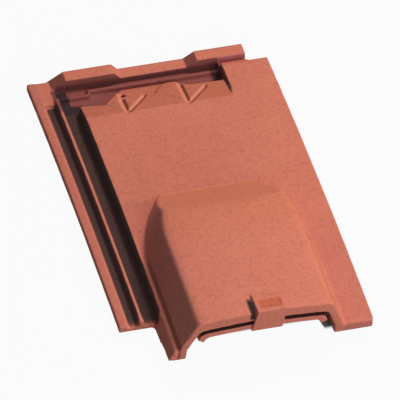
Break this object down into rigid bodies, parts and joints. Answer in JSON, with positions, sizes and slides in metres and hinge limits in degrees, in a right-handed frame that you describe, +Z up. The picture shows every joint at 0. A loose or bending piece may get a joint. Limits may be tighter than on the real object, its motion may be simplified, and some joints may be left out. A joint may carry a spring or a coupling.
{
  "type": "roof ventilation tile",
  "caption": "Interlocking clay roof tile with side and head locks and a ventilation hood over its nose, with a clip-in arched vent insert under the hood's lip.",
  "frame": {"origin": "centre of the bounding box, at its base", "axes": "+X across the tile from the side lock to the cover edge, +Y from the nose to the head, +Z up"},
  "size_m": [0.258, 0.4572, 0.0746],
  "materials": {
    "fired_clay": "unglazed fired clay, matt, fine sandy grain",
    "insert_plastic": "clay coloured, matt"
  },
  "bodies": {
    "root": {"tile_body": "fired_clay", "vent_insert": "insert_plastic"}
  },
  "joints": []
}
